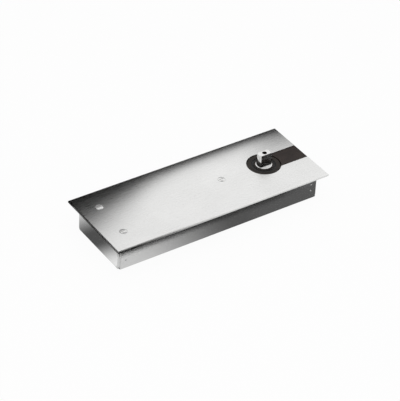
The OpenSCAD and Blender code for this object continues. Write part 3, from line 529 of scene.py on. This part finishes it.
# %% Nose with its two flats
BASE_R, TOP_R, HALF_BASE, HALF_TOP, TOP_BEVEL, ROOT = 9.6, 8.8, 5.4, 4.4, 0.6, 0.5
FINE = 0.001 * MM               # how near to a cut a corner counts as on it
nose = turned("nose", [(NOSE_LEVEL - ROOT, BASE_R), (NOSE_LEVEL, BASE_R),
                       (spindle_high - TOP_BEVEL, TOP_R), (spindle_high, TOP_R - TOP_BEVEL)], SPINDLE_SIDES)
lean = math.atan2(HALF_BASE - HALF_TOP, spindle_high - NOSE_LEVEL)
select_only(nose)
bpy.ops.object.mode_set(mode="EDIT")
for side in (1, -1):
    bpy.ops.mesh.select_all(action="SELECT")
    bpy.ops.mesh.bisect(plane_co=(0, side * HALF_BASE * MM, NOSE_LEVEL * MM),
                        plane_no=(0, side * math.cos(lean), math.sin(lean)),
                        use_fill=True, clear_outer=True, threshold=FINE)
bpy.ops.object.mode_set(mode="OBJECT")
break_edges(nose, NOSE_BREAK)
combine(shaft, nose, "UNION")
print("the flats lean", round(math.degrees(lean), 1), "degrees")

# %% [markdown]
# ## The thread in the nose
# An M6 thread goes down into the nose for the strap's screw, with a small countersink at its mouth. Its
# helix can't be told from rings at this size, so the cutter is turned with a groove for each turn of the
# thread, and cut away. The top face is then split into triangles, which keeps its shading flat about the
# hole.

# %% Thread
BORE_R, BORE_DEEP, DRILL_POINT, DRILL_TIP_R = 2.5, 21.2, 1.2, 0.2
PITCH, GROOVE_DEEP, FIRST_GROOVE, TURNS_LEFT_OUT = 1.0, 0.45, 0.5, 4
GROOVE_SIDE, GROOVE_FLOOR, GROOVE_END = 0.35, 0.5, 0.85    # levels within one pitch
COUNTERSINK, CUT_PAST = 0.5, 0.2
THREAD_SIDES = 40
grooves = [(spindle_high - BORE_DEEP - DRILL_POINT, DRILL_TIP_R), (spindle_high - BORE_DEEP, BORE_R)]
for turn_number in range(int(BORE_DEEP / PITCH) - TURNS_LEFT_OUT):
    level = spindle_high - BORE_DEEP + FIRST_GROOVE + turn_number * PITCH
    grooves += [(level, BORE_R), (level + GROOVE_SIDE, BORE_R + GROOVE_DEEP),
                (level + GROOVE_FLOOR, BORE_R + GROOVE_DEEP), (level + GROOVE_END, BORE_R)]
grooves += [(spindle_high - COUNTERSINK, BORE_R), (spindle_high + CUT_PAST, BORE_R + COUNTERSINK + CUT_PAST)]
combine(shaft, turned("thread", grooves, THREAD_SIDES), "DIFFERENCE")
edit_faces(shaft, lambda face: face.normal.z > 0.999)
bpy.ops.mesh.quads_convert_to_tris(ngon_method="BEAUTY")
bpy.ops.object.mode_set(mode="OBJECT")
shade_evenly(shaft)
hand_over(shaft, "polished_spindle", "spindle_unit", "spindle")

# %% [markdown]
# ## Black oxide on the spindle
# The whole spindle is blackened before it is ground. Grinding brightens the nose, the ring about its foot
# and the journal. The rest of the collar and the threaded hole are never ground, so they keep the black
# oxide. A second material on those faces alone says this, and no new piece is needed.

# %% Oxide
OXIDE_FROM, OXIDE_TO = -1.2, NOSE_LEVEL + 0.01
HOLE_BOTTOM, HOLE_R = spindle_high - BORE_DEEP - 1.5, BORE_R + 0.5


def is_oxidised(face):
    """True for the collar outside the bright ring and for the wall of the threaded hole."""
    level, radius = face.center.z / MM, face.center.xy.length / MM
    on_collar = OXIDE_FROM < level < OXIDE_TO and radius > RING_R
    in_hole = level > HOLE_BOTTOM and radius < HOLE_R and face.normal.z < 0.999
    return on_collar or in_hole


shaft.data.materials.append(finishes["blackened_cover"])
edit_faces(shaft, is_oxidised)
shaft.active_material_index = 1
bpy.ops.object.material_slot_assign()
bpy.ops.object.mode_set(mode="OBJECT")
print("oxide on", sum(face.material_index == 1 for face in shaft.data.polygons), "faces")

# %% [markdown]
# ## The cover plate's screws
# Three raised countersunk screws hold the plate. A raised head is a shallow dome over a cone. It is turned
# like the spindle, and the dome's steps follow a circle through its rim and its crown, because a plain
# cone would mirror the room as one flat tone. A thin block cuts the slot. One screw is made at the origin,
# and each place gets a copy with a mesh of its own. The middle one is shorter, so the end of its shank is
# moved up.

# %% One screw
HEAD_R, SHANK_R, CROWN, LENGTH, MIDDLE_LENGTH = 4.9, 2.5, 0.9, 12, 7.2
POINT_BEVEL, RIM_BEVEL = 0.6, 0.12
DOME_RADII = (4.84, 4.3, 3.6, 2.8, 2.0, 1.2, 0.5)
SLOT_SIZE, SLOT_MIDDLE = (12, 1.2, 2), 0.5
SCREW_SIDES, SCREW_BREAK, SCREW_ANGLE = 64, 0.1, 35
dome_r = (HEAD_R ** 2 + CROWN ** 2) / (2 * CROWN)
dome = [(CROWN - dome_r + math.sqrt(dome_r ** 2 - r ** 2), r) for r in DOME_RADII]
screw = turned("screw", [(-LENGTH, SHANK_R - POINT_BEVEL), (POINT_BEVEL - LENGTH, SHANK_R),
                         (SHANK_R - HEAD_R, SHANK_R), (-RIM_BEVEL, HEAD_R - RIM_BEVEL), (0, HEAD_R)] + dome,
               SCREW_SIDES)
bpy.ops.object.select_all(action="DESELECT")
bpy.ops.mesh.primitive_cube_add(size=1, location=(0, 0, SLOT_MIDDLE * MM))
blade = bpy.context.object
blade.scale = [side * MM for side in SLOT_SIZE]
bpy.ops.object.transform_apply(location=True, rotation=True, scale=True)
combine(screw, blade, "DIFFERENCE")
break_edges(screw, SCREW_BREAK, SCREW_ANGLE)
shade_evenly(screw, SCREW_ANGLE)
print("a screw has", len(screw.data.polygons), "faces; its dome's radius is", round(dome_r, 1), "mm")

# %% [markdown]
# ## Three screws in their places
# A screw that repeats is copied and never made again. Their places come from the box about the three
# solids: one in each left corner of it, and the middle one at its right end. The shape is moved inside
# each copy's mesh, so that every object stays at the origin.

# %% Three screws
screws_low, screws_high = [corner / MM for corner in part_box("cover_plate_screws")]
left, far, near = screws_low.x + HEAD_R, screws_high.y - HEAD_R, screws_low.y + HEAD_R
places = {"screw_middle": (screws_high.x - HEAD_R, 0), "screw_far": (left, far), "screw_near": (left, near)}
for name, (x, y) in places.items():
    select_only(screw)
    bpy.ops.object.duplicate()
    copied = bpy.context.object
    copied.name = name
    if name == "screw_middle":
        edit_faces(copied, lambda face: face.center.z < (1 - LENGTH) * MM)
        bpy.ops.transform.translate(value=(0, 0, (LENGTH - MIDDLE_LENGTH) * MM))
        bpy.ops.object.mode_set(mode="OBJECT")
    copied.location = (x * MM, y * MM, 0)
    select_only(copied)
    bpy.ops.object.transform_apply(location=True, rotation=True, scale=True)
    hand_over(copied, "stainless_screw", "housing", "cover_plate_screws")
bpy.data.objects.remove(screw)

# %% [markdown]
# ## The springs
# Two nested compression springs close the door. They are wound opposite ways, so that they can't catch in
# each other, and their end turns are closed and ground flat. A curve with a round bevel would make the
# coil too, but not its flat ends. So a circle of wire is wound three times with the Screw modifier: a
# closed turn, the open ones and a closed one again.

# %% Wind a length of coil
STEPS_PER_TURN = 32


def coiled(begin, pitch, turns, wire, outside, hand, sides):
    """A length of coil along X from begin, open at both ends. Sizes are in millimetres."""
    bpy.ops.object.select_all(action="DESELECT")
    bpy.ops.mesh.primitive_circle_add(vertices=sides, radius=wire / 2 * MM, location=(0, 0, 0),
                                      rotation=(math.radians(90), 0, 0))
    part = bpy.context.object
    bpy.ops.object.transform_apply(location=True, rotation=True, scale=True)
    bpy.ops.object.mode_set(mode="EDIT")
    bpy.ops.mesh.select_all(action="SELECT")
    bpy.ops.transform.translate(value=(0, 0, (outside - wire) / 2 * MM))
    bpy.ops.object.mode_set(mode="OBJECT")
    winding = part.modifiers.new("winding", "SCREW")
    winding.axis = "X"
    winding.angle = hand * math.tau
    winding.screw_offset = pitch * MM
    winding.iterations = turns
    winding.steps = winding.render_steps = STEPS_PER_TURN
    bpy.ops.object.modifier_apply(modifier=winding.name)
    part.location = (begin * MM, 0, (cam_low + cam_high) / 2 * MM)
    bpy.ops.object.transform_apply(location=True, rotation=True, scale=True)
    return part

print("a turn of coil has", STEPS_PER_TURN, "steps")

# %% [markdown]
# ## Welding and grinding a spring
# The three lengths are joined and welded where they meet, and the wire's two ends are filled, so that a
# bisect cut finds a closed shape and can fill its own section. Unless it is told otherwise, a cut takes a
# corner within a tenth of a millimetre for one that lies on it. That is too coarse for this wire, so each
# cut is told how fine to be.

# %% Weld and grind a spring
GROUND_SHARE = 0.3              # how far the wire's middle stays inside a ground end, in wires
CLOSED_GAP = 0.1                # millimetres between closed turns
WELD = 0.02 * MM
SMOOTH_BELOW = 35               # degrees between faces


def wound(name, low, high, wire, outside, turns, hand, sides):
    """A spring along X whose ends are closed and ground flat at low and high, in millimetres."""
    closed = wire + CLOSED_GAP
    start = low + GROUND_SHARE * wire
    open_pitch = (high - low - 2 * GROUND_SHARE * wire - 2 * closed) / (turns - 2)
    lengths = ((start, closed, 1), (start + closed, open_pitch, turns - 2),
               (start + closed + open_pitch * (turns - 2), closed, 1))
    parts = [coiled(*length, wire, outside, hand, sides) for length in lengths]
    for part in parts:
        part.select_set(True)
    bpy.ops.object.join()
    spring = bpy.context.object
    spring.name = name
    bpy.ops.object.mode_set(mode="EDIT")
    bpy.ops.mesh.select_all(action="SELECT")
    bpy.ops.mesh.remove_doubles(threshold=WELD)
    bpy.ops.mesh.fill_holes(sides=0)
    bpy.ops.mesh.normals_make_consistent(inside=False)
    for place, facing in ((low, -1), (high, 1)):
        bpy.ops.mesh.select_all(action="SELECT")
        bpy.ops.mesh.bisect(plane_co=(place * MM, 0, 0), plane_no=(facing, 0, 0),
                            use_fill=True, clear_outer=True, threshold=FINE)
    bpy.ops.object.mode_set(mode="OBJECT")
    bpy.ops.object.shade_smooth_by_angle(angle=math.radians(SMOOTH_BELOW))
    longest = max((spring.data.vertices[a].co - spring.data.vertices[b].co).length
                  for a, b in (edge.vertices for edge in spring.data.edges))
    print(name, len(spring.data.polygons), "faces, longest edge", round(longest / MM, 1), "mm")
    return spring

# %% [markdown]
# ## Two halves to a spring
# The piston presses on a spring's front end as the door opens, and the spring plate on its rear end as
# the closing force is set. Each spring is cut at its middle into a front and a rear half, and both halves
# go to the housing. The joint and the travel given with each half are not read, so neither half shortens.

# %% Both springs, in two halves each
PISTON_TRAVEL, PLATE_TRAVEL = 10.3, 10.1
COILS = (   # name, node, wire, outside, turns, hand, sides of the wire
    ("large_spring", "outer_spring", 4.2, 22, 14, 1, 14),
    ("small_spring", "inner_spring", 2.2, 12.8, 24, -1, 10),
)
for name, node, wire, outside, turns, hand, sides in COILS:
    low, high = [corner.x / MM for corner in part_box(node)]
    middle = (low + high) / 2
    front = wound(name + "_front", low, high, wire, outside, turns, hand, sides)
    select_only(front)
    bpy.ops.object.duplicate()
    rear = bpy.context.object
    rear.name = name + "_rear"
    for half, facing, joint, travel in ((front, -1, "carriage_slide", PISTON_TRAVEL),
                                        (rear, 1, "spring_plate_slide", PLATE_TRAVEL)):
        select_only(half)
        bpy.ops.object.mode_set(mode="EDIT")
        bpy.ops.mesh.select_all(action="SELECT")
        bpy.ops.mesh.bisect(plane_co=(middle * MM, 0, 0), plane_no=(facing, 0, 0),
                            use_fill=True, clear_outer=True, threshold=FINE)
        bpy.ops.object.mode_set(mode="OBJECT")
        hand_over(half, "spring_steel", "housing", node)
        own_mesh(half)

# %% [markdown]
# ## The studio
# Bare metal has no colour of its own to show: it shows the room. So the room is built for it. The world
# is plain white where the camera and the mirrors look, and a bit lower as a light, so that painted
# surfaces come out as they are written. A wide soft lamp overhead adds the rest and a soft shadow.

# %% World and lamp
FLOOR_LEVEL = cad_box[0].z - 0.1 * MM
AMBIENT = 0.62                  # of the world's full light
LAMP_PLACE, LAMP_SIZE, LAMP_WATTS = (plate_middle.x - 0.2, -0.25, 1.5), 1.4, 7


def seen_directly(tree):
    """1 for rays from the camera, from a mirror or through glass, 0 for the ones that carry light."""
    path = add_node(tree, "ShaderNodeLightPath").outputs
    seen = add_node(tree, "ShaderNodeMath", None, {0: path["Is Camera Ray"], 1: path["Is Glossy Ray"]},
                    operation="MAXIMUM")
    seen = add_node(tree, "ShaderNodeMath", None, {0: seen.outputs[0], 1: path["Is Transmission Ray"]},
                    operation="MAXIMUM")
    return seen.outputs[0]


world = bpy.data.worlds.new("white_room")
world.use_nodes = True
world.node_tree.nodes.clear()
sky = add_node(world.node_tree, "ShaderNodeMix", {2: AMBIENT, 3: 1.0}, {0: seen_directly(world.node_tree)})
sky = add_node(world.node_tree, "ShaderNodeBackground", {"Color": (1, 1, 1, 1)}, {"Strength": sky.outputs[0]})
add_node(world.node_tree, "ShaderNodeOutputWorld", None, {"Surface": sky.outputs[0]})
bpy.context.scene.world = world

bpy.ops.object.light_add(type="AREA", location=LAMP_PLACE)
lamp = bpy.context.object
lamp.name = "soft_lamp"
lamp.data.size = LAMP_SIZE
lamp.data.energy = LAMP_WATTS
lamp.visible_glossy = False
lamp.rotation_euler = (plate_middle - lamp.location).to_track_quat("-Z", "Y").to_euler()
print("ambient", AMBIENT, "lamp", LAMP_WATTS, "W")

# %% [markdown]
# ## The floor
# The floor is a plain white sweep. The camera should see it as white as the room, yet it has to keep the
# closer's soft shadow. So most of its surface glows white to the camera and the rest is matt paint.

# %% Floor
GLOW_SHARE = 0.94               # of what the camera and the mirrors see
FLOOR_SIZE = 12


def white_floor():
    """A glow for the camera and the mirrors, and matt paint for the light."""
    material, tree, place = new_material("white_sweep")
    glow = add_node(tree, "ShaderNodeEmission", {"Color": (1, 1, 1, 1), "Strength": 1})
    paint = add_node(tree, "ShaderNodeBsdfDiffuse", {"Color": linear("#f4f4f4")})
    share = add_node(tree, "ShaderNodeMath", {1: GLOW_SHARE}, {0: seen_directly(tree)}, operation="MULTIPLY")
    mixed = add_node(tree, "ShaderNodeMixShader", None,
                     {0: share.outputs[0], 1: paint.outputs[0], 2: glow.outputs[0]})
    add_node(tree, "ShaderNodeOutputMaterial", None, {"Surface": mixed.outputs[0]})
    return material


bpy.ops.mesh.primitive_plane_add(size=FLOOR_SIZE, location=(plate_middle.x, 0, FLOOR_LEVEL))
floor = bpy.context.object
floor.name = "floor"
floor.data.materials.append(white_floor())
print("floor", round(FLOOR_LEVEL / MM, 1), "mm below the finished floor level")

# %% [markdown]
# ## Black cards
# In an all-white room a steel plate would look like paper. In a studio, black cards stand just out of
# view, and the metal takes its dark edges and gradients from them. Painting the gradients on the metal
# would be easier, but they would stay put when a part turns. Only mirror rays see the cards. Each side of
# a card fades over its own width, so that no hard line shows on the steel. A card is given by its middle,
# its size and its turn, and its fades in the order left, right, bottom, top.

# %% A card that fades at its sides
def card_black(name, size, fades, strength):
    """Black that fades out over a width of its own at each side, all in millimetres.

    The card is a plane of size 1 that is scaled, so its own coordinates run from -0.5 to 0.5.
    """
    material, tree, place = new_material(name)
    parts = add_node(tree, "ShaderNodeSeparateXYZ", None, {0: place})
    cover = add_node(tree, "ShaderNodeValue")
    cover.outputs[0].default_value = strength
    for axis, length, low_fade, high_fade in (("X", size[0], *fades[:2]), ("Y", size[1], *fades[2:])):
        for start, end in ((-0.5, low_fade / length - 0.5), (0.5, 0.5 - high_fade / length)):
            side = add_node(tree, "ShaderNodeMapRange", {"From Min": start, "From Max": end},
                            {"Value": parts.outputs[axis]}, interpolation_type="SMOOTHSTEP")
            cover = add_node(tree, "ShaderNodeMath", None, {0: cover.outputs[0], 1: side.outputs["Result"]},
                             operation="MULTIPLY")
    clear = add_node(tree, "ShaderNodeBsdfTransparent")
    black = add_node(tree, "ShaderNodeEmission", {"Color": linear("#0c0c0c"), "Strength": 1})
    mixed = add_node(tree, "ShaderNodeMixShader", None,
                     {0: cover.outputs[0], 1: clear.outputs[0], 2: black.outputs[0]})
    add_node(tree, "ShaderNodeOutputMaterial", None, {"Surface": mixed.outputs[0]})
    return material


def stand_card(name, middle, size, turn, fades, strength=1.0):
    """A card; turn is its rotation in degrees."""
    bpy.ops.mesh.primitive_plane_add(size=1, location=[c * MM for c in middle],
                                     rotation=[math.radians(a) for a in turn])
    card = bpy.context.object
    card.name = name
    card.scale = (size[0] * MM, size[1] * MM, 1)
    card.data.materials.append(card_black(name + "_black", size, fades, strength))
    for ray in ("camera", "diffuse", "transmission", "volume_scatter", "shadow"):
        setattr(card, "visible_" + ray, False)
    return card

# %% [markdown]
# ## Where the cards stand
# The cover plate mirrors what stands behind its far edge: a low strip darkens that edge, two leaning
# cards the far left corner, and a faint one the right end. The walls and the rim mirror the floor beside
# them, so their cards lie there. Three of them are painted shade on the floor, which only the mirrors see:
# the near right one paints the closer's shadow on the floor, the near left one darkens the left of the
# rim's face and its edge nearest the closer paints the shade line just under the plate's rim on the near
# wall, and a faint narrow one paints the contact shade close to the near wall. Two raised cards darken the
# bevels of the left and the near edge. A small one right in front of the spindle darkens the flats of its
# nose, and one overhead the domed rims of the screws. Clear surfaces at one height hide each other, so the
# cards that overlap on the floor lie 0.3 mm apart.

# %% Stand and lay the cards
LYING = FLOOR_LEVEL / MM + 0.1
cards = [
    stand_card("far_strip", (-80, 68, 4), (460, 48), (90, 0, 0), (20, 40, 1, 15)),
    stand_card("far_corner_low", (-177, 78, 9), (320, 100), (90, 12, 0), (1, 70, 1, 24), 0.95),
    stand_card("far_corner_high", (-212, 80, 52), (200, 136), (90, 35, 0), (1, 40, 1, 64), 0.85),
    stand_card("far_right", (105, 77, 28), (190, 108), (90, 0, 0), (80, 1, 1, 55), 0.7),
    # painted shadow: the closer's shadow on the floor at its near right, seen only in the mirrors
    stand_card("near_right_floor_shadow", (20, -65.5, LYING), (500, 55), (0, 0, 0), (170, 1, 10, 5), 0.88),
    stand_card("near_middle_floor", (-90, -79, LYING + 0.3), (300, 28), (0, 0, 0), (90, 60, 10, 9), 0.92),
    # darkens the left of the rim's face; its edge nearest the closer paints the shade line under the plate's
    # rim
    stand_card("near_left_floor", (-170, -119, LYING + 0.6), (260, 106), (0, 0, 0), (1, 170, 1, 8), 1.0),
    # painted contact shade on the floor close to the near wall, seen only in the mirrors
    stand_card("near_left_contact", (-150, -57, LYING + 0.9), (270, 38), (0, 0, 0), (1, 110, 16, 2), 0.24),
    stand_card("left_floor", (-253, 28, LYING), (38, 124), (0, 0, 0), (8, 1, 46, 60), 0.9),
    stand_card("left_outer_floor", (-318, 40, LYING + 0.3), (108, 220), (0, 0, 0), (1, 5, 40, 40), 1.0),
    stand_card("left_raised", (-350, 110, 70), (300, 170), (90, 0, 42), (50, 50, 20, 30), 1.0),
    stand_card("near_raised", (-150, -180, 120), (240, 160), (90, 0, 0), (1, 120, 30, 30), 1.0),
    stand_card("spindle_front", (40, -57, 31), (130, 60), (90, 0, 0), (20, 15, 1, 10), 1.0),
    stand_card("overhead", (-60, 60, 320), (420, 150), (0, 0, 0), (40, 40, 40, 40), 1.0),
]
print("cards:", len(cards))
